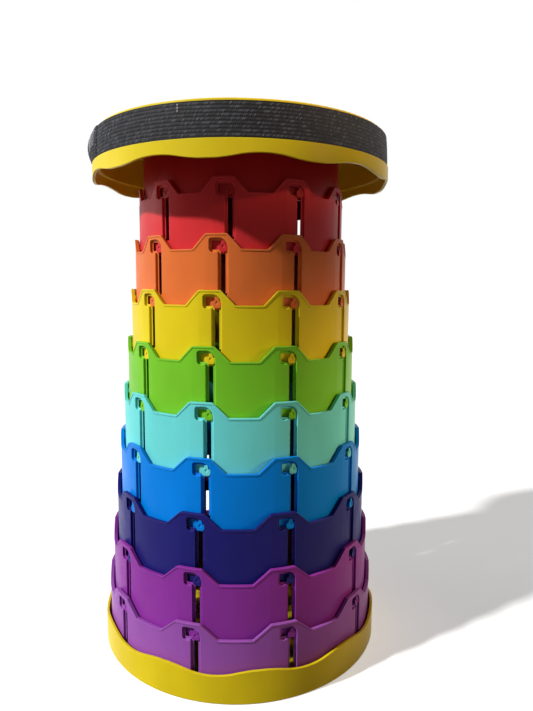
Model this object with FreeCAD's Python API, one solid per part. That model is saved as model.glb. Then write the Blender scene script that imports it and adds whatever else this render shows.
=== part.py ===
import FreeCAD, Part
import math
import os

# Collapsible telescopic stool, modelled pulled out, in millimetres.
# Z is up, the ground is at Z = 0 and the stool's axis is the Z axis.
# An azimuth is measured from -Y, the front, towards +X.

# The nested rings, from the innermost, which is fixed to the seat, to the one that stands in the base.
RING_NAMES = (
    "ring_0_inner",
    "ring_1_red",
    "ring_2_orange",
    "ring_3_yellow",
    "ring_4_green",
    "ring_5_aqua",
    "ring_6_blue",
    "ring_7_navy",
    "ring_8_purple",
    "ring_9_lilac",
)
# Azimuth of one crest of each ring, in degrees: the rings stand a little turned on each other.
CREST_AZIMUTHS = (-6.3, -6.3, -9.3, -11.8, -14.0, -14.4, -14.9, -16.8, -17.4, -17.4)

# Rings
SIDES = 10
LARGEST_RING_RADIUS = 122.8
RING_WALL = 2.7
RING_GAP = 1.3
PANEL_FLATNESS = 0.4
RING_TRAVEL = 42.8
CREST_HALF_ANGLE = 5.1
VALLEY_HALF_ANGLE = 6.3
VALLEY_DEPTH = 11.7
CREST_CORNER_RADIUS = 2.0
VALLEY_CORNER_RADIUS = 2.5
BEAD_WIDTH = 1.4
BEAD_HEIGHT = 0.3

# Pins: a broad head with a knob on top and a hollow in its face, on a neck through the next ring's slot
PIN_HALF_WIDTH = 3.3
PIN_HEIGHT = 8.2
PIN_FOOT_RADIUS = 2.0
PIN_SHOULDER = 5.0
PIN_SHOULDER_RADIUS = 0.6
KNOB_FOOT_HALF_WIDTH = 1.9
KNOB_FOOT_RADIUS = 0.5
KNOB_TOP_HALF_WIDTH = 1.2
KNOB_TOP_RADIUS = 1.0
NECK_HALF_WIDTH = 1.4
NECK_BOTTOM = 1.7
NECK_TOP = 4.7
NECK_CORNER_RADIUS = 1.0
PIN_BOTTOM = 1.8
PIN_BELOW_CREST = 13.6
PIN_WEB = 0.7
PIN_END_CLEARANCE = 0.3
PIN_LIP_CLEARANCE = 0.25
PIN_HOLLOW_RADIUS = 1.1
PIN_HOLLOW_RISE = 4.0
PIN_HOLLOW_DEPTH = 0.4

# Hook-shaped openings: a pocket beside the top of a slot, sunk into the wall, with a lip left inside
SLOT_AZIMUTH_FROM_CREST = 3.2
SLOT_SIDE_CLEARANCE = 0.4
SLOT_END_CLEARANCE = 1.2
GROOVE_END_CLEARANCE = 0.6
HOOK_TOP = 3.4
HOOK_FLOOR_CLEARANCE = 0.5
HOOK_ARCH_RADIUS = 7.6
HOOK_TOP_RADIUS = 2.0
HOOK_FLOOR_RADIUS = 3.0
LEDGE_LIP_RISE = 0.8
LEDGE_LIP_LENGTH = 2.15
LEDGE_RADIUS = 1.2
SLOT_CORNER_RADIUS = 1.5
OPENING_CHAMFER = 0.5
LIP_THICKNESS = 0.7
LIP_WIDTH = 1.9
LIP_CORNER_RADIUS = 0.6

# Base
RIM_GAP = 1.7
RIM_WALL = 2.2
BASE_UNDERSIDE = 0.3
BASE_FLOOR = 2.5
BASE_LAND = 0.5
BASE_RIM_HEIGHT = 25.4
BASE_WAVE = 2.3
BASE_EDGE_RADIUS = 0.8
BASE_RIB_WIDTH = 2.0
BASE_RIB_HEIGHT = 6.0
BASE_HUB_RADIUS = 24.0
BASE_HUB_WALL = 2.4
BASE_RIB_END_CLEARANCE = 3.0
LUG_WIDTH = 10.0
LUG_HEIGHT = 4.0
LUG_CLEARANCE = 0.3
LAND_CLEARANCE = 0.4

# Pads under the base
PAD_COUNT = 5
PAD_RADIUS = 9.0
PAD_RECESS = 0.8
PAD_SIDE_CLEARANCE = 0.3
PAD_EDGE_DISTANCE = 15.0
PAD_EDGE_RADIUS = 0.4

# Seat: its side leans in towards the top under the band, and the skirt steps out below the band
SEAT_PLATE = 3.0
SEAT_CREST_CLEARANCE = 0.3
SEAT_SIDE_CLEARANCE = 0.3
SEAT_TOP_WALL = 1.5
SEAT_DRAFT = 1.5
SKIRT_STEP = 3.0
RIMS_MEETING_GAP = 0.5
SKIRT_WAVE = 2.0
SKIRT_WALL = 2.4
SEAT_EDGE_RADIUS = 1.0
WAVE_LOW_AZIMUTH = -8.5
GROOVE_COUNT = 5
GROOVE_EDGE_DISTANCE = 9.0
GROOVE_WIDTH = 1.4
GROOVE_DEPTH = 0.5
SEAT_RIB_WIDTH = 1.8
SEAT_RIB_HEIGHT = 6.0
SEAT_HUB_RADIUS = 22.0
LOCATING_RIB_HEIGHT = 3.0
LOCATING_RIB_WALL = 1.6
LOCATING_RIB_CLEARANCE = 0.3

# Elastic band round the seat
BAND_BELOW_TOP = 2.3
BAND_WIDTH = 25.0
BAND_THICKNESS = 2.1
BAND_FIT = 0.15
BAND_SHOULDER_CLEARANCE = 0.3
BAND_END_AZIMUTH = -82.0
BAND_END_ANGLE = 10.0
BAND_END_THICKNESS = 0.8

# Screws that hold the inner ring's tabs to the bosses under the seat
SCREW_COUNT = 5
SCREW_RADIUS = 1.5
SCREW_LENGTH = 10.0
SCREW_HEAD_RADIUS = 3.0
SCREW_HEAD_HEIGHT = 2.2
SCREW_CLEARANCE = 0.05
SCREW_SLOT_WIDTH = 0.9
SCREW_SLOT_DEPTH = 1.0
TAB_HOLE_RADIUS = 1.75
TAB_THICKNESS = 3.0
TAB_WIDTH = 10.0
TAB_INSET = 7.0
BOSS_RADIUS = 4.5
BOSS_HEIGHT = 10.0

# Worked out from the sizes above
SIDE_ANGLE = 360.0 / SIDES
RING_STEP = RING_WALL + RING_GAP
RING_HEIGHT = RING_TRAVEL + PIN_BELOW_CREST + PIN_BOTTOM
LAST_RING = len(RING_NAMES) - 1
FLOOR_TOP = BASE_UNDERSIDE + BASE_FLOOR
LAND_TOP = FLOOR_TOP + BASE_LAND
GROOVE_IN_WALL = RING_WALL - PIN_WEB
PIN_LENGTH = RING_GAP + GROOVE_IN_WALL - PIN_END_CLEARANCE
HEAD_START = RING_GAP + LIP_THICKNESS + PIN_LIP_CLEARANCE
SLOT_HALF_WIDTH = PIN_HALF_WIDTH + SLOT_SIDE_CLEARANCE
SLOT_BOTTOM = PIN_BOTTOM + PIN_HEIGHT + SLOT_END_CLEARANCE
PIN_GROOVE_BOTTOM = PIN_BOTTOM - GROOVE_END_CLEARANCE
HOOK_DEPTH = PIN_BELOW_CREST + HOOK_FLOOR_CLEARANCE
POCKET_SIDE = -3 * SLOT_HALF_WIDTH
RIM_INNER_RADIUS = LARGEST_RING_RADIUS + RIM_GAP
RIM_RADIUS = RIM_INNER_RADIUS + RIM_WALL
SEAT_UNDERSIDE = LAND_TOP + RING_HEIGHT + LAST_RING * RING_TRAVEL + SEAT_CREST_CLEARANCE
SEAT_TOP = SEAT_UNDERSIDE + SEAT_PLATE
INNER_RING_RADIUS = LARGEST_RING_RADIUS - LAST_RING * RING_STEP
CORE_RADIUS = INNER_RING_RADIUS - RING_WALL - PANEL_FLATNESS
SCREW_CIRCLE = INNER_RING_RADIUS - RING_WALL - TAB_INSET
TAB_TOP = SEAT_UNDERSIDE - BOSS_HEIGHT
PAD_CIRCLE = RIM_RADIUS - PAD_EDGE_DISTANCE
SKIRT_DROP = SEAT_TOP - LAST_RING * RING_TRAVEL - BASE_RIM_HEIGHT - RIMS_MEETING_GAP
SEAT_CAVITY_RADIUS = LARGEST_RING_RADIUS + BEAD_HEIGHT + SEAT_SIDE_CLEARANCE
SEAT_TOP_RADIUS = SEAT_CAVITY_RADIUS + SEAT_TOP_WALL
SHOULDER_RADIUS = SEAT_TOP_RADIUS + SEAT_DRAFT
SKIRT_RADIUS = SHOULDER_RADIUS + SKIRT_STEP
BAND_TOP = SEAT_TOP - BAND_BELOW_TOP
BAND_BOTTOM = BAND_TOP - BAND_WIDTH
SHOULDER_TOP = BAND_BOTTOM - BAND_SHOULDER_CLEARANCE
GROOVE_SPACING = (SEAT_TOP_RADIUS - GROOVE_EDGE_DISTANCE) / GROOVE_COUNT

ORIGIN = FreeCAD.Vector(0, 0, 0)
UP = FreeCAD.Vector(0, 0, 1)
OVERLAP = 0.5
WAVE_TOOL_REACH = 4
WAVE_CREST_TRIM = 0.15
WEDGE_REACH = 2 * RIM_RADIUS
QUARTER_TURN = 90


def point(radius, azimuth, height):
    """A point at a radius and an azimuth in degrees."""
    angle = math.radians(azimuth)
    return FreeCAD.Vector(radius * math.sin(angle), -radius * math.cos(angle), height)


def turned(shape, azimuth):
    copy = shape.copy()
    copy.rotate(ORIGIN, UP, azimuth)
    return copy


def around(shape, first_azimuth, count):
    """Copies of a shape made at azimuth 0, evenly spaced round the axis."""
    return [turned(shape, first_azimuth + index * 360.0 / count) for index in range(count)]


def raised(shape, height):
    copy = shape.copy()
    copy.translate(FreeCAD.Vector(0, 0, height))
    return copy


def disc(radius, bottom, top):
    return Part.makeCylinder(radius, top - bottom, FreeCAD.Vector(0, 0, bottom))


def tube(outer, inner, bottom, top):
    return disc(outer, bottom, top).cut(disc(inner, bottom - OVERLAP, top + OVERLAP))


def outline(corners, distance):
    """A closed wire facing outwards at azimuth 0 through (across, up, radius) corners."""
    places = [FreeCAD.Vector(across, -distance, up) for across, up, radius in corners]
    count = len(corners)
    bends = []
    for index in range(count):
        here = places[index]
        back = (places[index - 1] - here).normalize()
        ahead = (places[(index + 1) % count] - here).normalize()
        radius = corners[index][2]
        if radius <= 0:
            bends.append((here, None, here))
            continue
        half = back.getAngle(ahead) / 2
        reach = radius / math.tan(half)
        bisector = (back + ahead).normalize()
        middle = here + bisector * (radius / math.sin(half) - radius)
        bends.append((here + back * reach, middle, here + ahead * reach))
    edges = []
    for index in range(count):
        start, middle, end = bends[index]
        if middle is not None:
            edges.append(Part.Arc(start, middle, end).toShape())
        following = bends[(index + 1) % count][0]
        edges.append(Part.LineSegment(end, following).toShape())
    return Part.Wire(edges)


def prism(corners, near, far):
    """The outline as a solid that runs outwards between two distances from the axis."""
    face = Part.Face(outline(corners, near))
    return face.extrude(FreeCAD.Vector(0, near - far, 0))


def grown(corners, amount):
    """The outline's corners moved outwards; the corners run anticlockwise seen from outside."""
    count = len(corners)
    result = []
    for index in range(count):
        across, up, radius = corners[index]
        before = corners[index - 1]
        after = corners[(index + 1) % count]
        into = FreeCAD.Vector(across - before[0], up - before[1], 0).normalize()
        out = FreeCAD.Vector(after[0] - across, after[1] - up, 0).normalize()
        normal = FreeCAD.Vector(into.y + out.y, -into.x - out.x, 0)
        share = amount / (1 + into.x * out.x + into.y * out.y)
        turns_left = into.x * out.y - into.y * out.x > 0
        bend = radius + amount if turns_left else radius - amount
        if radius <= 0:
            bend = 0
        result.append((across + normal.x * share, up + normal.y * share, bend))
    return result


def bevel(corners, radius, width):
    """A solid widening outwards at 45 degrees that takes this width off an opening's outer edge."""
    inside = outline(corners, radius - width)
    outside = outline(grown(corners, 2 * width), radius + width)
    return Part.makeLoft([inside, outside], True, True)


def box_across(half_width, bottom, top, near, far):
    corners = (
        (-half_width, bottom, 0),
        (half_width, bottom, 0),
        (half_width, top, 0),
        (-half_width, top, 0),
    )
    return prism(corners, near, far)


def ring_section(radius, first_crest, bottom, top):
    """A solid prism of a ring's plan: an arc under each crest and a flatter panel between."""
    edges = []
    for side in range(SIDES):
        crest = first_crest + side * SIDE_ANGLE
        left = point(radius, crest - CREST_HALF_ANGLE, bottom)
        right = point(radius, crest + CREST_HALF_ANGLE, bottom)
        edges.append(Part.Arc(left, point(radius, crest, bottom), right).toShape())
        panel = point(radius - PANEL_FLATNESS, crest + SIDE_ANGLE / 2, bottom)
        following = point(radius, crest + SIDE_ANGLE - CREST_HALF_ANGLE, bottom)
        edges.append(Part.Arc(right, panel, following).toShape())
    face = Part.Face(Part.Wire(edges))
    return face.extrude(FreeCAD.Vector(0, 0, top - bottom))


def one_side(bottom, top):
    """The wedge of space round the axis that holds one side of a ring, with its crest at azimuth 0."""
    left = point(WEDGE_REACH, -SIDE_ANGLE / 2, bottom)
    right = point(WEDGE_REACH, SIDE_ANGLE / 2, bottom)
    centre = point(0, 0, bottom)
    face = Part.Face(Part.makePolygon([centre, left, right, centre]))
    return face.extrude(FreeCAD.Vector(0, 0, top - bottom))


def ring_wall(outer, inner, first_crest, bottom, top):
    core = ring_section(inner, first_crest, bottom - OVERLAP, top + OVERLAP)
    return ring_section(outer, first_crest, bottom, top).cut(core)


def side_wall(outer, inner, bottom, top):
    """One side of a ring's wall, with its crest at azimuth 0."""
    return ring_wall(outer, inner, 0, bottom, top).common(one_side(bottom - OVERLAP, top + OVERLAP))


def valley_corners(radius):
    """What is cut away between two crest middles; height 0 is the crest's top."""
    valley = radius * math.sin(math.radians(VALLEY_HALF_ANGLE))
    crest = radius * math.sin(math.radians(SIDE_ANGLE / 2 - CREST_HALF_ANGLE))
    middle = radius * math.sin(math.radians(SIDE_ANGLE / 2)) + OVERLAP
    return (
        (-valley, -VALLEY_DEPTH, VALLEY_CORNER_RADIUS),
        (valley, -VALLEY_DEPTH, VALLEY_CORNER_RADIUS),
        (crest, 0, CREST_CORNER_RADIUS),
        (middle, 0, 0),
        (middle, VALLEY_DEPTH, 0),
        (-middle, VALLEY_DEPTH, 0),
        (-middle, 0, 0),
        (-crest, 0, CREST_CORNER_RADIUS),
    )


def hook_corners():
    """The sunk hook shape, across from the slot's middle; height 0 is the crest's top."""
    lip_top = LEDGE_LIP_RISE - HOOK_DEPTH
    lip_start = -SLOT_HALF_WIDTH - LEDGE_LIP_LENGTH
    slot_bottom = SLOT_BOTTOM - RING_HEIGHT
    return (
        (-SLOT_HALF_WIDTH, slot_bottom, SLOT_CORNER_RADIUS),
        (SLOT_HALF_WIDTH, slot_bottom, SLOT_CORNER_RADIUS),
        (SLOT_HALF_WIDTH, -HOOK_TOP, HOOK_ARCH_RADIUS),
        (POCKET_SIDE, -HOOK_TOP, HOOK_TOP_RADIUS),
        (POCKET_SIDE, -HOOK_DEPTH, HOOK_FLOOR_RADIUS),
        (lip_start - LEDGE_LIP_RISE, -HOOK_DEPTH, LEDGE_RADIUS),
        (lip_start, lip_top, LEDGE_RADIUS),
        (-SLOT_HALF_WIDTH, lip_top, LEDGE_RADIUS),
    )


def through_corners():
    """The narrower hook shape that goes right through the wall and leaves the lip."""
    half_width = SLOT_HALF_WIDTH - LIP_WIDTH
    pocket = POCKET_SIDE + LIP_WIDTH
    top = -HOOK_TOP - LIP_WIDTH
    floor = LIP_WIDTH - HOOK_DEPTH
    slot_bottom = SLOT_BOTTOM - RING_HEIGHT
    return (
        (-half_width, slot_bottom, LIP_CORNER_RADIUS),
        (half_width, slot_bottom, LIP_CORNER_RADIUS),
        (half_width, top, HOOK_ARCH_RADIUS - LIP_WIDTH),
        (pocket, top, LIP_CORNER_RADIUS),
        (pocket, floor, HOOK_FLOOR_RADIUS - LIP_WIDTH),
        (-half_width, floor, LEDGE_RADIUS),
    )


def sunk_hook(radius):
    """The hook shape down to the lip, whose face is round like the wall."""
    lip_face = disc(radius - RING_WALL + LIP_THICKNESS, -RING_HEIGHT, OVERLAP)
    return prism(hook_corners(), radius / 2, radius + RING_WALL).cut(lip_face)


def head_corners():
    """The pin's head; height 0 is the pin's bottom."""
    return (
        (-PIN_HALF_WIDTH, 0, PIN_FOOT_RADIUS),
        (PIN_HALF_WIDTH, 0, PIN_FOOT_RADIUS),
        (PIN_HALF_WIDTH, PIN_SHOULDER, PIN_SHOULDER_RADIUS),
        (KNOB_FOOT_HALF_WIDTH, PIN_SHOULDER, KNOB_FOOT_RADIUS),
        (KNOB_TOP_HALF_WIDTH, PIN_HEIGHT, KNOB_TOP_RADIUS),
        (-KNOB_TOP_HALF_WIDTH, PIN_HEIGHT, KNOB_TOP_RADIUS),
        (-KNOB_FOOT_HALF_WIDTH, PIN_SHOULDER, KNOB_FOOT_RADIUS),
        (-PIN_HALF_WIDTH, PIN_SHOULDER, PIN_SHOULDER_RADIUS),
    )


def neck_corners():
    return (
        (-NECK_HALF_WIDTH, NECK_BOTTOM, NECK_CORNER_RADIUS),
        (NECK_HALF_WIDTH, NECK_BOTTOM, NECK_CORNER_RADIUS),
        (NECK_HALF_WIDTH, NECK_TOP, NECK_CORNER_RADIUS),
        (-NECK_HALF_WIDTH, NECK_TOP, NECK_CORNER_RADIUS),
    )


def ring_pin(radius, head_start, length):
    """One pin at azimuth 0, its bottom at height 0; the head starts at a distance from the wall."""
    end = radius + length
    pin = prism(head_corners(), radius + head_start, end)
    if head_start > 0:
        pin = pin.fuse(prism(neck_corners(), radius - OVERLAP, end - PIN_HOLLOW_DEPTH))
    hollow = Part.makeCylinder(
        PIN_HOLLOW_RADIUS,
        PIN_HOLLOW_DEPTH + OVERLAP,
        FreeCAD.Vector(0, -end + PIN_HOLLOW_DEPTH, PIN_HOLLOW_RISE),
        FreeCAD.Vector(0, -1, 0),
    )
    return pin.cut(hollow)


def ring_radius(index):
    return INNER_RING_RADIUS + index * RING_STEP


def ring_bottom(index):
    return LAND_TOP + (LAST_RING - index) * RING_TRAVEL


def slot_azimuth(index):
    return CREST_AZIMUTHS[index] + SLOT_AZIMUTH_FROM_CREST


def pin_azimuth(index):
    """A ring's pins stand in the next larger ring's slots; the last ring's stand under the base's lugs."""
    return slot_azimuth(min(index + 1, LAST_RING))


def side_bead(radius, crest_top):
    """One side of the raised lip along a ring's wavy top edge, with its lower side following the edge."""
    bottom = crest_top - VALLEY_DEPTH - 2 * BEAD_WIDTH
    top = crest_top + BEAD_WIDTH
    blank = side_wall(radius + BEAD_HEIGHT, radius - BEAD_HEIGHT, bottom, top)
    backing = side_wall(radius + RING_GAP, radius - RING_WALL, bottom - OVERLAP, top)
    below = prism(grown(valley_corners(radius), BEAD_WIDTH), radius / 2, radius + RING_WALL)
    belows = around(raised(below, crest_top), SIDE_ANGLE / 2, SIDES)
    return blank.cut(backing.cut([belows[0], belows[-1]]))


def ring_side(index):
    """One side of a ring, with its crest at azimuth 0: crest, hook opening, slot, groove and pin."""
    radius = ring_radius(index)
    bottom = ring_bottom(index)
    crest_top = bottom + RING_HEIGHT
    pin = ring_pin(radius, HEAD_START, PIN_LENGTH)
    if index == LAST_RING:
        pin = ring_pin(radius, -OVERLAP, RIM_GAP - LUG_CLEARANCE)
    pin = turned(pin, pin_azimuth(index) - CREST_AZIMUTHS[index])
    wall = side_wall(radius, radius - RING_WALL, bottom, crest_top + BEAD_WIDTH)
    body = wall.fuse([side_bead(radius, crest_top), raised(pin, bottom + PIN_BOTTOM)])

    valley = raised(prism(valley_corners(radius), radius / 2, radius + RING_WALL), crest_top)
    valleys = around(valley, SIDE_ANGLE / 2, SIDES)
    through = prism(through_corners(), radius / 2, radius + RING_WALL)
    edge = bevel(hook_corners(), radius, OPENING_CHAMFER)
    groove = box_across(
        SLOT_HALF_WIDTH,
        PIN_GROOVE_BOTTOM - RING_HEIGHT,
        SLOT_BOTTOM + SLOT_CORNER_RADIUS - RING_HEIGHT,
        radius / 2,
        radius - PIN_WEB,
    )
    tools = (sunk_hook(radius), through, edge, groove)
    opening = [turned(raised(tool, crest_top), SLOT_AZIMUTH_FROM_CREST) for tool in tools]
    return body.cut([valleys[0], valleys[-1]] + opening)


def sliding_ring(index):
    """A ring of equal sides, with its pins outside and the grooves for the next ring's pins inside."""
    sides = around(ring_side(index), CREST_AZIMUTHS[index], SIDES)
    return sides[0].fuse(sides[1:]).removeSplitter()


def inner_ring():
    """The plain ring under the seat: pins below, a flat top, and tabs inside for the screws."""
    radius = ring_radius(0)
    bottom = ring_bottom(0)
    crest = CREST_AZIMUTHS[0]
    wall = ring_wall(radius, radius - RING_WALL, crest, bottom, SEAT_UNDERSIDE)
    pin = raised(ring_pin(radius, HEAD_START, PIN_LENGTH), bottom + PIN_BOTTOM)
    pins = around(pin, pin_azimuth(0), SIDES)
    tab = box_across(
        TAB_WIDTH / 2,
        TAB_TOP - TAB_THICKNESS,
        TAB_TOP,
        SCREW_CIRCLE - TAB_WIDTH / 2,
        radius - RING_WALL + OVERLAP,
    )
    hole = raised(disc(TAB_HOLE_RADIUS, -TAB_THICKNESS, TAB_THICKNESS), TAB_TOP)
    hole.translate(point(SCREW_CIRCLE, 0, 0))
    tabs = around(tab.cut(hole), crest, SCREW_COUNT)
    return wall.fuse(pins + tabs).removeSplitter()


def wave_tool(radius, mean, wave, facing):
    """What is cut off a rim to leave one wave of its edge, which faces up (1) or down (-1)."""
    half = radius * math.sin(math.radians(SIDE_ANGLE / 2))
    quarter = half / 2
    bend = (quarter * quarter + wave * wave) / (2 * wave)
    turn = math.asin(quarter / bend) / 2
    shoulder = half - bend * math.sin(turn)
    shoulder_rise = wave - bend * (1 - math.cos(turn))
    clear = WAVE_TOOL_REACH * wave
    near = radius / 2

    def at(across, up):
        return FreeCAD.Vector(across, -near, mean + facing * up)

    def line(*ends):
        return Part.LineSegment(*ends).toShape()

    edges = [
        Part.Arc(at(-quarter, 0), at(0, -wave), at(quarter, 0)).toShape(),
        Part.Arc(at(quarter, 0), at(shoulder, shoulder_rise), at(half, wave)).toShape(),
        line(at(half, wave), at(half, clear)),
        line(at(half, clear), at(-half, clear)),
        line(at(-half, clear), at(-half, wave)),
        Part.Arc(at(-half, wave), at(-shoulder, shoulder_rise), at(-quarter, 0)).toShape(),
    ]
    return Part.Face(Part.Wire(edges)).extrude(FreeCAD.Vector(0, -radius, 0))


def rounded(blank, edge_height, edge_radius):
    """A round blank with the edge at one height rounded."""
    edges = [
        edge
        for edge in blank.Edges
        if edge.isClosed() and abs(edge.CenterOfMass.z - edge_height) < edge_radius / 2
    ]
    return blank.makeFillet(edge_radius, edges)


def radial_ribs(width, inner, outer, bottom, top, first_azimuth):
    return around(box_across(width / 2, bottom, top, inner, outer), first_azimuth, SIDES)


def base_tray():
    """The dish that the last ring stands in: floor, wavy rim, ribs, and lugs over the ring's pins."""
    rim_top = BASE_RIM_HEIGHT + BASE_WAVE - WAVE_CREST_TRIM
    tray = rounded(disc(RIM_RADIUS, BASE_UNDERSIDE, rim_top), BASE_UNDERSIDE, BASE_EDGE_RADIUS)
    tray = tray.cut(disc(RIM_INNER_RADIUS, FLOOR_TOP, rim_top + OVERLAP))
    wave = wave_tool(RIM_RADIUS, BASE_RIM_HEIGHT, BASE_WAVE, 1)
    tray = tray.cut(around(wave, WAVE_LOW_AZIMUTH, SIDES))

    land_inner = LARGEST_RING_RADIUS - RING_STEP + LAND_CLEARANCE
    land = tube(RIM_INNER_RADIUS + OVERLAP, land_inner, FLOOR_TOP - OVERLAP, LAND_TOP)
    rib_top = FLOOR_TOP + BASE_RIB_HEIGHT
    rib_end = CORE_RADIUS - BASE_RIB_END_CLEARANCE
    rib_start = BASE_HUB_RADIUS - BASE_HUB_WALL / 2
    sunk = FLOOR_TOP - OVERLAP
    ribs = radial_ribs(BASE_RIB_WIDTH, rib_start, rib_end, sunk, rib_top, slot_azimuth(LAST_RING))
    hub = tube(BASE_HUB_RADIUS, BASE_HUB_RADIUS - BASE_HUB_WALL, sunk, rib_top)
    lug_bottom = ring_bottom(LAST_RING) + PIN_BOTTOM + PIN_HEIGHT + LUG_CLEARANCE
    lug = box_across(
        LUG_WIDTH / 2,
        lug_bottom,
        lug_bottom + LUG_HEIGHT,
        LARGEST_RING_RADIUS + LUG_CLEARANCE,
        RIM_INNER_RADIUS + RIM_WALL / 2,
    )
    lugs = around(lug, pin_azimuth(LAST_RING), SIDES)
    tray = tray.fuse([land, hub] + ribs + lugs)

    recess = disc(PAD_RADIUS + PAD_SIDE_CLEARANCE, BASE_UNDERSIDE - OVERLAP, BASE_UNDERSIDE + PAD_RECESS)
    recess.translate(point(PAD_CIRCLE, 0, 0))
    return tray.cut(around(recess, 0, PAD_COUNT)).removeSplitter()


def anti_slip_pads():
    """Round pads in the recesses under the base; the stool stands on them."""
    pad = rounded(disc(PAD_RADIUS, 0, BASE_UNDERSIDE + PAD_RECESS), 0, PAD_EDGE_RADIUS)
    pad.translate(point(PAD_CIRCLE, 0, 0))
    return Part.makeCompound(around(pad, 0, PAD_COUNT))


def seat_side(growth, angle=360):
    """The leaning cone of the seat's side, grown outwards; an angle below 360 gives a sector of it."""
    foot = FreeCAD.Vector(0, 0, SHOULDER_TOP)
    height = SEAT_TOP - SHOULDER_TOP
    return Part.makeCone(SHOULDER_RADIUS + growth, SEAT_TOP_RADIUS + growth, height, foot, UP, angle)


def seat_cover():
    """The seat: a plate with a wavy skirt, ringed grooves on top, and ribs and screw bosses below."""
    blank_bottom = SEAT_TOP - SKIRT_DROP - SKIRT_WAVE + WAVE_CREST_TRIM
    shoulder_bottom = SHOULDER_TOP - SKIRT_WALL
    skirt = disc(SKIRT_RADIUS, blank_bottom, SHOULDER_TOP)
    seat = rounded(seat_side(0), SEAT_TOP, SEAT_EDGE_RADIUS).fuse(skirt)
    seat = seat.cut(disc(SKIRT_RADIUS - SKIRT_WALL, blank_bottom - OVERLAP, shoulder_bottom))
    seat = seat.cut(disc(SEAT_CAVITY_RADIUS, shoulder_bottom - OVERLAP, SEAT_UNDERSIDE))
    wave = wave_tool(SKIRT_RADIUS, SEAT_TOP - SKIRT_DROP, SKIRT_WAVE, -1)
    seat = seat.cut(around(wave, WAVE_LOW_AZIMUTH + SIDE_ANGLE / 2, SIDES))

    sunk = SEAT_UNDERSIDE + OVERLAP
    locating_outer = CORE_RADIUS - LOCATING_RIB_CLEARANCE
    locating_inner = locating_outer - LOCATING_RIB_WALL
    locating = tube(locating_outer, locating_inner, SEAT_UNDERSIDE - LOCATING_RIB_HEIGHT, sunk)
    rib_bottom = SEAT_UNDERSIDE - SEAT_RIB_HEIGHT
    hub = tube(SEAT_HUB_RADIUS, SEAT_HUB_RADIUS - SEAT_RIB_WIDTH, rib_bottom, sunk)
    rib_start = SEAT_HUB_RADIUS - SEAT_RIB_WIDTH / 2
    ribs = radial_ribs(SEAT_RIB_WIDTH, rib_start, SCREW_CIRCLE, rib_bottom, sunk, CREST_AZIMUTHS[0])
    boss = disc(BOSS_RADIUS, TAB_TOP, sunk)
    boss.translate(point(SCREW_CIRCLE, 0, 0))
    bosses = around(boss, CREST_AZIMUTHS[0], SCREW_COUNT)
    seat = seat.fuse([locating, hub] + ribs + bosses)

    hole_top = TAB_TOP - TAB_THICKNESS + SCREW_LENGTH + OVERLAP
    hole = disc(SCREW_RADIUS + SCREW_CLEARANCE, TAB_TOP - OVERLAP, hole_top)
    hole.translate(point(SCREW_CIRCLE, 0, 0))
    holes = around(hole, CREST_AZIMUTHS[0], SCREW_COUNT)
    grooves = []
    for index in range(GROOVE_COUNT):
        radius = (index + 1) * GROOVE_SPACING
        grooves.append(tube(radius + GROOVE_WIDTH, radius, SEAT_TOP - GROOVE_DEPTH, SEAT_TOP + OVERLAP))
    return seat.cut(holes + grooves).removeSplitter()


def seat_screws():
    """Pan-head screws with a cross recess, pointing up through the tabs into the bosses."""
    head_top = TAB_TOP - TAB_THICKNESS
    head_bottom = head_top - SCREW_HEAD_HEIGHT
    head = rounded(disc(SCREW_HEAD_RADIUS, head_bottom, head_top), head_bottom, SCREW_HEAD_HEIGHT / 2)
    screw = head.fuse(disc(SCREW_RADIUS, head_top - OVERLAP, head_top + SCREW_LENGTH))
    for across, along in ((SCREW_SLOT_WIDTH, SCREW_HEAD_RADIUS), (SCREW_HEAD_RADIUS, SCREW_SLOT_WIDTH)):
        corner = FreeCAD.Vector(-across / 2, -along / 2, head_bottom - OVERLAP)
        screw = screw.cut(Part.makeBox(across, along, SCREW_SLOT_DEPTH + OVERLAP, corner))
    screw.translate(point(SCREW_CIRCLE, 0, 0))
    return Part.makeCompound(around(screw, CREST_AZIMUTHS[0], SCREW_COUNT))


def elastic_band():
    """The band round the seat's side, with its sewn end lying on it."""
    width_only = disc(SKIRT_RADIUS + SKIRT_WALL, BAND_BOTTOM, BAND_TOP)
    outer = BAND_FIT + BAND_THICKNESS
    band = seat_side(outer).cut(seat_side(BAND_FIT)).common(width_only)
    end = seat_side(outer + BAND_END_THICKNESS, BAND_END_ANGLE).cut(seat_side(outer - BAND_THICKNESS / 2))
    end = turned(end.common(width_only), BAND_END_AZIMUTH - QUARTER_TURN - BAND_END_ANGLE / 2)
    return band.fuse(end).removeSplitter()


def save(name, shape):
    shape.exportStep("parts/" + name + ".step")
    print(name, len(shape.Solids), "solids", round(shape.Volume), "mm3", "valid" if shape.isValid() else "BAD")


def main():
    os.makedirs("parts", exist_ok=True)
    save("base_tray", base_tray())
    save("anti_slip_pads", anti_slip_pads())
    save("seat_cover", seat_cover())
    save("seat_screws", seat_screws())
    save("elastic_band", elastic_band())
    save(RING_NAMES[0], inner_ring())
    for index in range(1, len(RING_NAMES)):
        save(RING_NAMES[index], sliding_ring(index))


main()
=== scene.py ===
import math
import random
from collections import namedtuple

import bpy
from mathutils import Matrix, Vector


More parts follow.
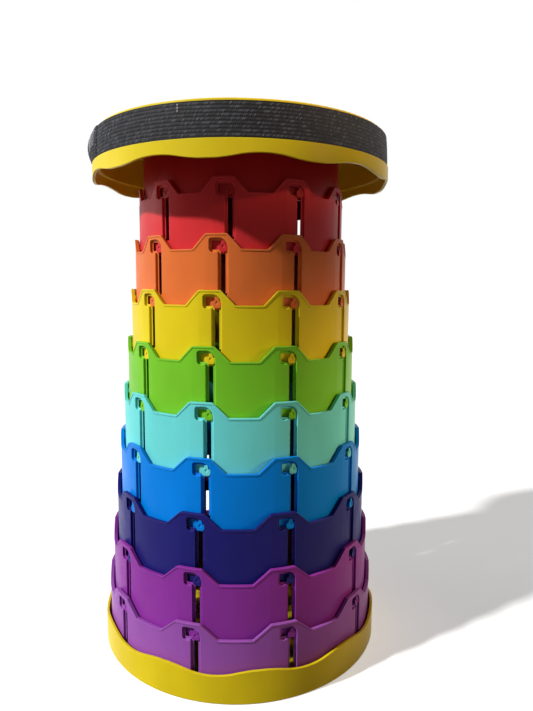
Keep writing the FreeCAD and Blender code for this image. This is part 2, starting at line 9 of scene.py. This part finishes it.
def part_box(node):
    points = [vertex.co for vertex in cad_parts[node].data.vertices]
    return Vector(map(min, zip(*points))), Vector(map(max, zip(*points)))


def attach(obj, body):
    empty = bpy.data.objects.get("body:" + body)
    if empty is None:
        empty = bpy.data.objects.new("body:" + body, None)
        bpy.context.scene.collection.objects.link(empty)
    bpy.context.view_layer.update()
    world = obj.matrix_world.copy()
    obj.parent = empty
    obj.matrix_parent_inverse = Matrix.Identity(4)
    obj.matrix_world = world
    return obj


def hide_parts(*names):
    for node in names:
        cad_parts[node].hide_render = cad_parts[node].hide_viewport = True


# The looks of the collapsible telescopic stool, in metres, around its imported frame.
# An azimuth is measured from -Y, the front, towards +X. A noise pattern's scale is in waves per metre.

# Camera, as the photograph was taken
PHOTO_HEIGHT_PX = 711
FOCAL_LENGTH_PX = 586.7
SENSOR_HEIGHT_MM = 36.0
CAMERA_PLACE = (0.0235, -0.5446, 0.3216)
CAMERA_DOWN_DEG = 6.75
CAMERA_ROLL_DEG = 0.40

# Lamps: a key from the front left, a soft lamp from the left side, warm spots from the right, a faint sky
KEY_AZIMUTH_DEG = -63.0
KEY_ELEVATION_DEG = 39.0
KEY_STRENGTH = 3.9
KEY_ANGLE_DEG = 3.0
KEY_COLOUR = (1.0, 0.98, 0.95)
SIDE_AZIMUTH_DEG = -98.0
SIDE_ELEVATION_DEG = 14.0
SIDE_STRENGTH = 0.7
SIDE_ANGLE_DEG = 40.0
SIDE_COLOUR = (1.0, 1.0, 1.0)
Spot = namedtuple("Spot", "name azimuth_deg height aim_height cone_deg widening watts")
WARM_SPOTS = (
    Spot("warm_rings", 72.0, 0.42, 0.130, 30.0, 1.2, 16.0),
    Spot("warm_seat", 60.0, 0.70, 0.432, 9.0, 4.0, 20.0),
)
WARM_DISTANCE = 0.80
WARM_SIZE = 0.05
WARM_COLOUR = (1.0, 0.66, 0.36)
SKY_STRENGTH = 0.06
SKY_COLOUR = (1.0, 0.88, 0.74)
FLOOR_SIZE = 40.0
FLOOR_COLOUR = 0.12
FLOOR_ROUGHNESS = 0.9
SEEN_FLOOR_COLOUR = 0.80
SEEN_FLOOR_GLOW = 0.47

# Elastic band, and the thick sewn end that lies on it
BAND_FOOT_RADIUS = 0.12653
BAND_LEAN = 0.00136
BAND_CROWN = 0.0003
BAND_THICKNESS = 0.0021
BAND_RIBS = 9
BAND_RIB_HEIGHT = 0.00045
BAND_YARN_HEIGHT = 0.00040
BAND_YARN_PITCH = 0.0015
BAND_YARN_SLANT = 1.5
BAND_EDGE_RADIUS = 0.0006
BAND_EDGE_STEPS = 3
BAND_RIB_ROUNDNESS = 0.8
BAND_RIB_SHIFT = 0.37
BAND_STRAND_ROUNDNESS = 2
# Painted shade levels: the grooves between yarns and the band's sides are coloured darker
BAND_GROOVE_SHADE_LEVEL = 0.1
BAND_SIDE_SHADE_LEVEL = 0.3
BAND_STEPS_PER_YARN = 6
BAND_STEPS_PER_RIB = 8
BAND_RANDOM_SEED = 7
# Painted glints: how much each yarn's crown is brightened at random
YARN_PAINTED_GLINT_MEAN = 0.1
YARN_PAINTED_GLINT_SPREAD = 0.3
SEWN_END_FIRST_DEG = -84.0
SEWN_END_LAST_DEG = -62.0
SEWN_END_THICKNESS = 0.0029
SEWN_END_SWELL = 0.0036
THREAD_RADIUS = 0.00042
THREAD_SIDES = 6
THREAD_STEPS = 6
THREAD_RISE = 0.0007
END_THREADS = 6
END_THREAD_AZIMUTH_DEG = -66.5
END_THREAD_SPAN_DEG = 5.0
END_THREAD_RISE = 0.0045
END_THREAD_PITCH = 0.0021
END_THREAD_BOTTOM = 0.0095
SHORT_SEAM_AZIMUTH_DEG = -18.0
SHORT_SEAM_THREADS = 3
SHORT_SEAM_PITCH = 0.0021
SHORT_SEAM_LENGTH = 0.0015
SHORT_SEAM_BOTTOM = 0.0187

# Colours, as 0 to 255 screen values
PLASTICS = {
    "seat_cover": (232, 208, 37),
    "base_tray": (222, 198, 24),
    # The inner ring is the same red as ring 1, painted darker as shade for its place under the seat
    "ring_0_inner": (180, 30, 30),
    "ring_1_red": (212, 50, 55),
    "ring_2_orange": (230, 118, 56),
    "ring_3_yellow": (230, 207, 28),
    "ring_4_green": (120, 200, 44),
    "ring_5_aqua": (110, 222, 222),
    "ring_6_blue": (0, 130, 232),
    "ring_7_navy": (30, 28, 110),
    "ring_8_purple": (138, 50, 156),
    "ring_9_lilac": (150, 82, 172),
}
RUBBER_COLOUR = (40, 40, 42)
# Webbing colours: painted shade for the grooves, the yarn's own grey, and a painted glint colour for bright
# yarns
YARN_COLOURS = ((6, 6, 7), (50, 50, 55), (134, 140, 158))
THREAD_COLOUR = (214, 216, 228)

# Finishes: a pattern is noise between two levels, and a grain is noise that tilts the surface
Pattern = namedtuple("Pattern", "scale detail low high stretch", defaults=((1, 1, 1),))
Grain = namedtuple("Grain", "scale detail strength depth")
PLASTIC_CLOUDS = Pattern(22.0, 4.0, 0.35, 0.70, (1, 1, 0.5))
PLASTIC_CLOUD_SHADE = 0.86
PLASTIC_WEAR_AND_HIGHLIGHT = Pattern(160.0, 3.0, 0.25, 0.60)
PLASTIC_SMUDGES = Pattern(60.0, 5.0, 0.30, 0.75)
PLASTIC_GRAIN = Grain(1400.0, 2.0, 0.05, 0.0002)
PLASTIC_ROUGHNESS = (0.31, 0.45)
PLASTIC_REFRACTION = 1.48
PLASTIC_SPECULAR = 0.10
# Paler edges: partly rubbed wear, partly a painted highlight along every edge
EDGE_RADIUS = 0.0006
EDGE_REACH = 2.2
EDGE_GAIN = 2.0
EDGE_LIFT = 0.055
BEVEL_SAMPLES = 6
MIX_COLOUR_INPUTS = (0, 6, 7)
MIX_COLOUR_OUTPUT = 2
RUBBER_DUST = Pattern(240.0, 5.0, 0.45, 0.75)
RUBBER_DUST_GAIN = 1.7
RUBBER_DUST_LIFT = 0.01
RUBBER_GRAIN = Grain(1800.0, 3.0, 0.25, 0.0002)
RUBBER_ROUGHNESS = 0.75
STEEL_STREAKS = Pattern(900.0, 3.0, 0.30, 0.70, (1, 1, 0.2))
STEEL_DARK = (0.50, 0.51, 0.52, 1.0)
STEEL_LIGHT = (0.68, 0.69, 0.70, 1.0)
STEEL_DULLING = Pattern(300.0, 4.0, 0.30, 0.70)
STEEL_ROUGHNESS = (0.24, 0.42)
YARN_SHADE_RAMP_LOW = 0.25
YARN_SHADE_RAMP_HIGH = 0.90
YARN_GRAIN = Grain(5200.0, 3.0, 0.40, 0.0001)
YARN_ROUGHNESS = 0.55
YARN_SPECULAR = 0.18
THREAD_PLY_SHADE_PATTERN = Pattern(3200.0, 2.0, 0.35, 0.65)
THREAD_SHADE = 0.55
THREAD_ROUGHNESS = 0.5


def linear(red, green, blue):
    """A colour written as 0 to 255 screen values, in the linear values that the shader takes."""
    result = []
    for value in (red, green, blue):
        share = value / 255
        result.append(share / 12.92 if share <= 0.04045 else ((share + 0.055) / 1.055) ** 2.4)
    return (*result, 1.0)


def grey(value):
    """A linear grey, or one number in the shape of a colour."""
    return (value, value, value, 1.0)


def changed(colour, gain, lift=0.0):
    """A linear colour made brighter or darker, up to white."""
    return (*(min(1.0, value * gain + lift) for value in colour[:3]), 1.0)


def around_axis(radius, azimuth_deg, height):
    """A point at a radius from the stool's axis."""
    angle = math.radians(azimuth_deg)
    return Vector((radius * math.sin(angle), -radius * math.cos(angle), height))


class Nodes:
    """A material's node tree with short calls for adding and joining nodes."""

    def __init__(self, name):
        self.material = bpy.data.materials.new(name)
        self.material.use_nodes = True
        self.tree = self.material.node_tree
        self.shader = self.tree.nodes["Principled BSDF"]

    def add(self, kind, settings=(), values=()):
        node = self.tree.nodes.new(kind)
        for key, value in dict(settings).items():
            setattr(node, key, value)
        for key, value in dict(values).items():
            node.inputs[key].default_value = value
        return node

    def join(self, source, target):
        self.tree.links.new(source, target)

    def noise(self, scale, detail, stretch=(1, 1, 1)):
        """Noise in the object's own space, so that it stays on the moving piece."""
        place = self.add("ShaderNodeTexCoord")
        mapping = self.add("ShaderNodeMapping", values={"Scale": stretch})
        noise = self.add("ShaderNodeTexNoise", values={"Scale": scale, "Detail": detail})
        self.join(place.outputs["Object"], mapping.inputs["Vector"])
        self.join(mapping.outputs["Vector"], noise.inputs["Vector"])
        return noise.outputs["Fac"]

    def ramp(self, factor, low, high, low_colour=grey(0.0), high_colour=grey(1.0)):
        """A change from one colour to the other as the factor goes from low to high."""
        ramp = self.add("ShaderNodeValToRGB")
        ramp.color_ramp.elements[0].position = low
        ramp.color_ramp.elements[1].position = high
        ramp.color_ramp.elements[0].color = low_colour
        ramp.color_ramp.elements[1].color = high_colour
        self.join(factor, ramp.inputs["Fac"])
        return ramp.outputs["Color"]

    def pattern(self, pattern, low_colour=grey(0.0), high_colour=grey(1.0)):
        """A noise pattern, from one colour or level to the other."""
        noise = self.noise(pattern.scale, pattern.detail, pattern.stretch)
        return self.ramp(noise, pattern.low, pattern.high, low_colour, high_colour)

    def grain(self, grain, normal=None):
        """Fine relief on the shader's surface, over another normal where one is given."""
        bump = self.add("ShaderNodeBump", values={"Strength": grain.strength, "Distance": grain.depth})
        self.join(self.noise(grain.scale, grain.detail), bump.inputs["Height"])
        if normal is not None:
            self.join(normal, bump.inputs["Normal"])
        self.join(bump.outputs["Normal"], self.shader.inputs["Normal"])

    def math(self, operation, first, second=None, value=0.0):
        """Arithmetic on one output with another, or with a plain value."""
        node = self.add("ShaderNodeMath", {"operation": operation})
        self.join(first, node.inputs[0])
        if second is None:
            node.inputs[1].default_value = value
        else:
            self.join(second, node.inputs[1])
        return node.outputs[0]

    def mix(self, factor, first, second):
        """A colour between two, each given as a colour or as another node's output."""
        node = self.add("ShaderNodeMix", {"data_type": "RGBA"})
        for socket, value in zip(MIX_COLOUR_INPUTS, (factor, first, second)):
            if isinstance(value, bpy.types.NodeSocket):
                self.join(value, node.inputs[socket])
            else:
                node.inputs[socket].default_value = value
        return node.outputs[MIX_COLOUR_OUTPUT]


def edge_share(nodes):
    """How near a point is to an outer edge or corner, as the rounded normal leaves the true one there.

    The rounded normal is given as well."""
    bevel = nodes.add("ShaderNodeBevel", {"samples": BEVEL_SAMPLES}, {"Radius": EDGE_RADIUS})
    geometry = nodes.add("ShaderNodeNewGeometry")
    dot = nodes.add("ShaderNodeVectorMath", {"operation": "DOT_PRODUCT"})
    nodes.join(bevel.outputs["Normal"], dot.inputs[0])
    nodes.join(geometry.outputs["Normal"], dot.inputs[1])
    away = nodes.math("SUBTRACT", dot.outputs["Value"], value=1.0)
    gained = nodes.add("ShaderNodeMath", {"operation": "MULTIPLY", "use_clamp": True})
    gained.inputs[1].default_value = -EDGE_REACH
    nodes.join(away, gained.inputs[0])
    return gained.outputs[0], bevel.outputs["Normal"]


def moulded_plastic(name, colour):
    """Moulded plastic: soft gloss, faint flow marks and mottling, and paler edges, partly rubbed wear and
    partly a painted highlight.
    """
    nodes = Nodes(name)
    base = linear(*colour)
    clouds = nodes.pattern(PLASTIC_CLOUDS)
    tone = nodes.mix(clouds, base, changed(base, PLASTIC_CLOUD_SHADE))
    edge, rounded = edge_share(nodes)
    # Paler edges: partly rubbed wear, partly a painted highlight along every edge
    worn_and_highlit = nodes.math("MULTIPLY", edge, nodes.pattern(PLASTIC_WEAR_AND_HIGHLIGHT))
    pale = changed(base, EDGE_GAIN, EDGE_LIFT)
    nodes.join(nodes.mix(worn_and_highlit, tone, pale), nodes.shader.inputs["Base Color"])

    glossy, rubbed = PLASTIC_ROUGHNESS
    smudges = nodes.pattern(PLASTIC_SMUDGES, grey(glossy), grey(rubbed))
    nodes.join(smudges, nodes.shader.inputs["Roughness"])
    nodes.grain(PLASTIC_GRAIN, rounded)
    nodes.shader.inputs["IOR"].default_value = PLASTIC_REFRACTION
    nodes.shader.inputs["Specular IOR Level"].default_value = PLASTIC_SPECULAR
    return nodes.material


def rubber(name, colour):
    """Matt rubber with a little dust on it."""
    nodes = Nodes(name)
    base = linear(*colour)
    dusty = changed(base, RUBBER_DUST_GAIN, RUBBER_DUST_LIFT)
    nodes.join(nodes.mix(nodes.pattern(RUBBER_DUST), base, dusty), nodes.shader.inputs["Base Color"])
    nodes.grain(RUBBER_GRAIN)
    nodes.shader.inputs["Roughness"].default_value = RUBBER_ROUGHNESS
    return nodes.material


def zinc_steel(name):
    """Zinc-plated steel, streaky and unevenly dull."""
    nodes = Nodes(name)
    streaks = nodes.pattern(STEEL_STREAKS, STEEL_DARK, STEEL_LIGHT)
    nodes.join(streaks, nodes.shader.inputs["Base Color"])
    bright, dull = STEEL_ROUGHNESS
    nodes.join(nodes.pattern(STEEL_DULLING, grey(bright), grey(dull)), nodes.shader.inputs["Roughness"])
    nodes.shader.inputs["Metallic"].default_value = 1.0
    return nodes.material


def woven_yarn(name, groove_shade, yarn, bright):
    """Ribbed elastic webbing: painted shade in the gaps, mid-grey yarns and a few yarns brightened as painted
    glints, from the mesh's own values.
    """
    nodes = Nodes(name)
    height = nodes.add("ShaderNodeAttribute", {"attribute_name": "yarn_painted_light_level"})
    painted_glint = nodes.add("ShaderNodeAttribute", {"attribute_name": "yarn_painted_glint"})
    # Painted shade: darker where the yarn lies low
    painted_light_level = nodes.ramp(height.outputs["Fac"], YARN_SHADE_RAMP_LOW, YARN_SHADE_RAMP_HIGH)
    tone = nodes.mix(painted_light_level, linear(*groove_shade), linear(*yarn))
    # Painted glints: some yarns brightened on their crowns
    lit = nodes.math("MULTIPLY", painted_glint.outputs["Fac"], painted_light_level)
    nodes.join(nodes.mix(lit, tone, linear(*bright)), nodes.shader.inputs["Base Color"])
    nodes.grain(YARN_GRAIN)
    nodes.shader.inputs["Roughness"].default_value = YARN_ROUGHNESS
    nodes.shader.inputs["Specular IOR Level"].default_value = YARN_SPECULAR
    return nodes.material


def sewing_thread(name, colour):
    """Twisted thread, darkened in fine random patches as painted shade between its plies."""
    nodes = Nodes(name)
    base = linear(*colour)
    # Painted shade: random patches darkened for the shaded sides of the plies
    ply_shade = nodes.pattern(THREAD_PLY_SHADE_PATTERN)
    nodes.join(nodes.mix(ply_shade, changed(base, THREAD_SHADE), base), nodes.shader.inputs["Base Color"])
    nodes.shader.inputs["Roughness"].default_value = THREAD_ROUGHNESS
    return nodes.material


def paint_node(node, material):
    """Gives a CAD node its material."""
    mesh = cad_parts[node].data
    mesh.materials.clear()
    mesh.materials.append(material)


def mesh_piece(name, points, faces, material):
    """A smooth-shaded piece made from points and faces."""
    mesh = bpy.data.meshes.new(name)
    mesh.from_pydata(points, [], faces)
    mesh.materials.append(material)
    mesh.polygons.foreach_set("use_smooth", [True] * len(faces))
    piece = bpy.data.objects.new(name, mesh)
    bpy.context.scene.collection.objects.link(piece)
    return piece


def band_section(width, thickness):
    """The webbing's closed outline as (height, depth, rib place) rows, outer side first, ribs upwards.

    The rib place runs from 0 to the number of ribs on the outer side, and is None elsewhere."""
    rows = []
    steps = BAND_RIBS * BAND_STEPS_PER_RIB
    for step in range(steps + 1):
        share = step / steps
        height = BAND_EDGE_RADIUS + share * (width - 2 * BAND_EDGE_RADIUS)
        rows.append((height, thickness, share * BAND_RIBS))
    edge_angles = [math.pi / 2 * step / BAND_EDGE_STEPS for step in range(BAND_EDGE_STEPS + 1)]
    for angle in edge_angles[1:]:
        height = width - BAND_EDGE_RADIUS * (1 - math.sin(angle))
        rows.append((height, thickness - BAND_EDGE_RADIUS * (1 - math.cos(angle)), None))
    rows.append((width, 0.0, None))
    rows.append((0.0, 0.0, None))
    for angle in edge_angles[:-1]:
        height = BAND_EDGE_RADIUS * (1 - math.cos(angle))
        rows.append((height, thickness - BAND_EDGE_RADIUS * (1 - math.sin(angle)), None))
    return rows


def yarn_relief(along, rib_place):
    """How far the yarn sinks below the webbing's outer face, its height from 0 to 1, which colours the
    grooves with painted shade, and which yarn it is.
    """
    rib = min(int(rib_place), BAND_RIBS - 1)
    across = rib_place - rib - 0.5
    crown = math.cos(math.pi * across) ** BAND_RIB_ROUNDNESS if abs(across) < 0.5 else 0.0
    turn = along / BAND_YARN_PITCH - BAND_YARN_SLANT * across + BAND_RIB_SHIFT * rib
    strand = abs(math.cos(math.pi * turn)) ** BAND_STRAND_ROUNDNESS
    sunk = BAND_RIB_HEIGHT * (1 - crown) + BAND_YARN_HEIGHT * (1 - strand) * crown
    painted_light_level = crown * (BAND_GROOVE_SHADE_LEVEL + (1 - BAND_GROOVE_SHADE_LEVEL) * strand)
    return sunk, painted_light_level, (rib, math.floor(turn + 0.5))


def webbing_face(up, share, thickness, swell):
    """The radius of the webbing's outer face, from the share of its width and of its length."""
    crown = (BAND_CROWN + swell * math.sin(math.pi * share)) * (1 - (2 * up - 1) ** 2)
    return BAND_FOOT_RADIUS - BAND_LEAN * up + thickness + crown


def webbing(name, bottom, width, thickness, first_deg, last_deg, material, swell=0.0):
    """A length of ribbed webbing laid round the axis, closed into a ring when it spans a whole turn.

    The swell is how far its middle stands out."""
    section = band_section(width, thickness)
    arc = math.radians(last_deg - first_deg)
    length = arc * (BAND_FOOT_RADIUS + thickness)
    steps = round(length / BAND_YARN_PITCH * BAND_STEPS_PER_YARN)
    whole = last_deg - first_deg >= 360
    columns = steps if whole else steps + 1
    yarns = round(length / BAND_YARN_PITCH)
    chance = random.Random(BAND_RANDOM_SEED)
    painted_glints = {}
    points = []
    painted_light_levels = []
    painted_glint_values = []
    for column in range(columns):
        share = column / steps
        azimuth = first_deg + share * (last_deg - first_deg)
        along = share * yarns * BAND_YARN_PITCH
        for height, depth, rib_place in section:
            # The band's sides get a fixed painted shade level, and the ribs get painted shade in their
            # grooves
            painted_light_level = BAND_SIDE_SHADE_LEVEL
            painted_glint = 0.0
            if rib_place is not None:
                sunk, painted_light_level, strand = yarn_relief(along, rib_place)
                depth = depth - sunk
                if strand not in painted_glints:
                    painted_glints[strand] = max(0.0, chance.gauss(YARN_PAINTED_GLINT_MEAN, YARN_PAINTED_GLINT_SPREAD))
                painted_glint = min(1.0, painted_glints[strand])
            up = height / width
            radius = webbing_face(up, share, depth, swell)
            points.append(around_axis(radius, azimuth, bottom + height))
            painted_light_levels.append(painted_light_level)
            painted_glint_values.append(painted_glint)
    rows = len(section)
    faces = []
    for column in range(steps):
        here = column * rows
        ahead = ((column + 1) % columns) * rows
        for row in range(rows):
            above = (row + 1) % rows
            faces.append((here + row, ahead + row, ahead + above, here + above))
    if not whole:
        faces.append(tuple(range(rows)))
        faces.append(tuple(reversed(range(steps * rows, steps * rows + rows))))
    piece = mesh_piece(name, points, faces, material)
    for attribute_name, values in (("yarn_painted_light_level", painted_light_levels), ("yarn_painted_glint", painted_glint_values)):
        attribute = piece.data.attributes.new(attribute_name, "FLOAT", "POINT")
        attribute.data.foreach_set("value", values)
    return piece


def sewing_threads(name, threads, material):
    """Short threads over the webbing; each has a start and an end, as radius, azimuth and height."""
    points = []
    faces = []
    for start, end in threads:
        first = len(points)
        along = around_axis(*end) - around_axis(*start)
        for step in range(THREAD_STEPS + 1):
            share = step / THREAD_STEPS
            radius, azimuth, height = (a + share * (b - a) for a, b in zip(start, end))
            rise = THREAD_RISE * math.sin(math.pi * share) - THREAD_RADIUS
            centre = around_axis(radius + rise, azimuth, height)
            outwards = around_axis(1.0, azimuth, 0.0)
            sideways = outwards.cross(along).normalized()
            for side in range(THREAD_SIDES):
                turn = 2 * math.pi * side / THREAD_SIDES
                offset = outwards * math.cos(turn) + sideways * math.sin(turn)
                points.append(centre + THREAD_RADIUS * offset)
        for step in range(THREAD_STEPS):
            for side in range(THREAD_SIDES):
                here = first + step * THREAD_SIDES + side
                beside = first + step * THREAD_SIDES + (side + 1) % THREAD_SIDES
                faces.append((here, beside, beside + THREAD_SIDES, here + THREAD_SIDES))
        last = first + THREAD_STEPS * THREAD_SIDES
        faces.append(tuple(reversed(range(first, first + THREAD_SIDES))))
        faces.append(tuple(range(last, last + THREAD_SIDES)))
    return mesh_piece(name, points, faces, material)


def end_threads(bottom, width):
    """The slanting threads on the sewn end, one above the other."""
    threads = []
    for index in range(END_THREADS):
        ends = []
        for side in (-0.5, 0.5):
            azimuth = END_THREAD_AZIMUTH_DEG + side * END_THREAD_SPAN_DEG
            height = END_THREAD_BOTTOM + index * END_THREAD_PITCH + side * END_THREAD_RISE
            share = (azimuth - SEWN_END_FIRST_DEG) / (SEWN_END_LAST_DEG - SEWN_END_FIRST_DEG)
            face = webbing_face(height / width, share, SEWN_END_THICKNESS, SEWN_END_SWELL)
            ends.append((face, azimuth, bottom + height))
        threads.append(ends)
    return threads


def seam_threads(bottom, width):
    """The short upright seam near the band's top edge."""
    threads = []
    for index in range(SHORT_SEAM_THREADS):
        ends = []
        for side in (-0.5, 0.5):
            height = SHORT_SEAM_BOTTOM + index * SHORT_SEAM_PITCH + side * SHORT_SEAM_LENGTH
            face = webbing_face(height / width, 0.0, BAND_THICKNESS, 0.0)
            ends.append((face, SHORT_SEAM_AZIMUTH_DEG, bottom + height))
        threads.append(ends)
    return threads


def add_band():
    """The woven band round the seat's side, with its sewn end and the threads that hold it."""
    lowest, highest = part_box("elastic_band")
    bottom = lowest.z
    width = highest.z - lowest.z
    material = woven_yarn("band_webbing", *YARN_COLOURS)
    band = webbing("band_webbing", bottom, width, BAND_THICKNESS, -180.0, 180.0, material)
    end = webbing(
        "band_sewn_end",
        bottom,
        width,
        SEWN_END_THICKNESS,
        SEWN_END_FIRST_DEG,
        SEWN_END_LAST_DEG,
        material,
        SEWN_END_SWELL,
    )
    threads = end_threads(bottom, width) + seam_threads(bottom, width)
    stitches = sewing_threads("band_stitches", threads, sewing_thread("pale_thread", THREAD_COLOUR))
    for piece in (band, end, stitches):
        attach(piece, "seat")
    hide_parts("elastic_band")


def add_camera():
    """The photograph's own camera."""
    data = bpy.data.cameras.new("camera")
    data.sensor_fit = "VERTICAL"
    data.sensor_height = SENSOR_HEIGHT_MM
    data.lens = FOCAL_LENGTH_PX / PHOTO_HEIGHT_PX * SENSOR_HEIGHT_MM
    camera = bpy.data.objects.new("camera", data)
    bpy.context.scene.collection.objects.link(camera)
    tilt = Matrix.Rotation(math.radians(90 - CAMERA_DOWN_DEG), 4, "X")
    roll = Matrix.Rotation(math.radians(CAMERA_ROLL_DEG), 4, "Z")
    camera.matrix_world = Matrix.Translation(CAMERA_PLACE) @ tilt @ roll
    bpy.context.scene.camera = camera


def add_lamp(name, azimuth_deg, elevation_deg, strength, angle_deg, colour):
    """A distant lamp, so that the floor is lit evenly as far as it goes."""
    data = bpy.data.lights.new(name, "SUN")
    data.angle = math.radians(angle_deg)
    data.energy = strength
    data.color = colour
    lamp = bpy.data.objects.new(name, data)
    bpy.context.scene.collection.objects.link(lamp)
    elevation = math.radians(elevation_deg)
    offset = around_axis(math.cos(elevation), azimuth_deg, math.sin(elevation))
    lamp.rotation_euler = (-offset).to_track_quat("-Z", "Y").to_euler()


def add_warm_spot(spot):
    """A warm lamp from the right, aimed at one height of the stool and wider than it is high."""
    data = bpy.data.lights.new(spot.name, "SPOT")
    data.shadow_soft_size = WARM_SIZE
    data.energy = spot.watts
    data.color = WARM_COLOUR
    data.spot_size = math.radians(spot.cone_deg)
    data.spot_blend = 1.0
    lamp = bpy.data.objects.new(spot.name, data)
    bpy.context.scene.collection.objects.link(lamp)
    lamp.location = around_axis(WARM_DISTANCE, spot.azimuth_deg, spot.height)
    aim = Vector((0.0, 0.0, spot.aim_height)) - lamp.location
    lamp.rotation_euler = aim.to_track_quat("-Z", "Y").to_euler()
    lamp.scale = (spot.widening, 1.0, 1.0)


def seen_share(tree):
    """1 for what the camera sees, straight or in a reflection, and 0 for the light on the object."""
    path = tree.nodes.new("ShaderNodeLightPath")
    total = path.outputs["Is Camera Ray"]
    for name in ("Is Glossy Ray", "Is Transmission Ray"):
        larger = tree.nodes.new("ShaderNodeMath")
        larger.operation = "MAXIMUM"
        tree.links.new(total, larger.inputs[0])
        tree.links.new(path.outputs[name], larger.inputs[1])
        total = larger.outputs[0]
    return total


def add_sky():
    """A faint warm sky that is seen white."""
    world = bpy.data.worlds.new("studio")
    bpy.context.scene.world = world
    world.use_nodes = True
    tree = world.node_tree
    background = tree.nodes["Background"]
    background.inputs["Color"].default_value = (*SKY_COLOUR, 1.0)
    background.inputs["Strength"].default_value = SKY_STRENGTH
    white = tree.nodes.new("ShaderNodeBackground")
    white.inputs["Color"].default_value = grey(1.0)
    white.inputs["Strength"].default_value = 1.0
    mix = tree.nodes.new("ShaderNodeMixShader")
    tree.links.new(seen_share(tree), mix.inputs[0])
    tree.links.new(background.outputs[0], mix.inputs[1])
    tree.links.new(white.outputs[0], mix.inputs[2])
    tree.links.new(mix.outputs[0], tree.nodes["World Output"].inputs["Surface"])


def add_floor():
    """A floor that is seen white, with the object's shadow, and throws little light back."""
    nodes = Nodes("pale_floor")
    nodes.shader.inputs["Base Color"].default_value = grey(FLOOR_COLOUR)
    nodes.shader.inputs["Roughness"].default_value = FLOOR_ROUGHNESS
    seen = nodes.add("ShaderNodeBsdfDiffuse", values={"Color": grey(SEEN_FLOOR_COLOUR)})
    glow = nodes.add("ShaderNodeEmission", values={"Strength": SEEN_FLOOR_GLOW})
    both = nodes.add("ShaderNodeAddShader")
    nodes.join(seen.outputs[0], both.inputs[0])
    nodes.join(glow.outputs[0], both.inputs[1])
    mix = nodes.add("ShaderNodeMixShader")
    nodes.join(seen_share(nodes.tree), mix.inputs[0])
    nodes.join(nodes.shader.outputs[0], mix.inputs[1])
    nodes.join(both.outputs[0], mix.inputs[2])
    nodes.join(mix.outputs[0], nodes.tree.nodes["Material Output"].inputs["Surface"])
    half = FLOOR_SIZE / 2
    corners = [(-half, -half, 0), (half, -half, 0), (half, half, 0), (-half, half, 0)]
    mesh_piece("floor", corners, [(0, 1, 2, 3)], nodes.material)


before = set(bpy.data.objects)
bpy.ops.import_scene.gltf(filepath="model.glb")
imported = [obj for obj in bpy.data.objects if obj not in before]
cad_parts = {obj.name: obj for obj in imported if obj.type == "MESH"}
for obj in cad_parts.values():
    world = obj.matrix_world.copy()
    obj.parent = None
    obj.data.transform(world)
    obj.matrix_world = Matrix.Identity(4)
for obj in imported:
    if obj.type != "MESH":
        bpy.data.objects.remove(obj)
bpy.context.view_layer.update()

for node_name, plastic_colour in PLASTICS.items():
    paint_node(node_name, moulded_plastic("plastic_" + node_name, plastic_colour))
paint_node("anti_slip_pads", rubber("pad_rubber", RUBBER_COLOUR))
paint_node("seat_screws", zinc_steel("screw_steel"))
add_band()
add_camera()
add_lamp("key", KEY_AZIMUTH_DEG, KEY_ELEVATION_DEG, KEY_STRENGTH, KEY_ANGLE_DEG, KEY_COLOUR)
add_lamp("side", SIDE_AZIMUTH_DEG, SIDE_ELEVATION_DEG, SIDE_STRENGTH, SIDE_ANGLE_DEG, SIDE_COLOUR)
for spot in WARM_SPOTS:
    add_warm_spot(spot)
add_sky()
add_floor()
bpy.context.scene.view_settings.view_transform = "Standard"
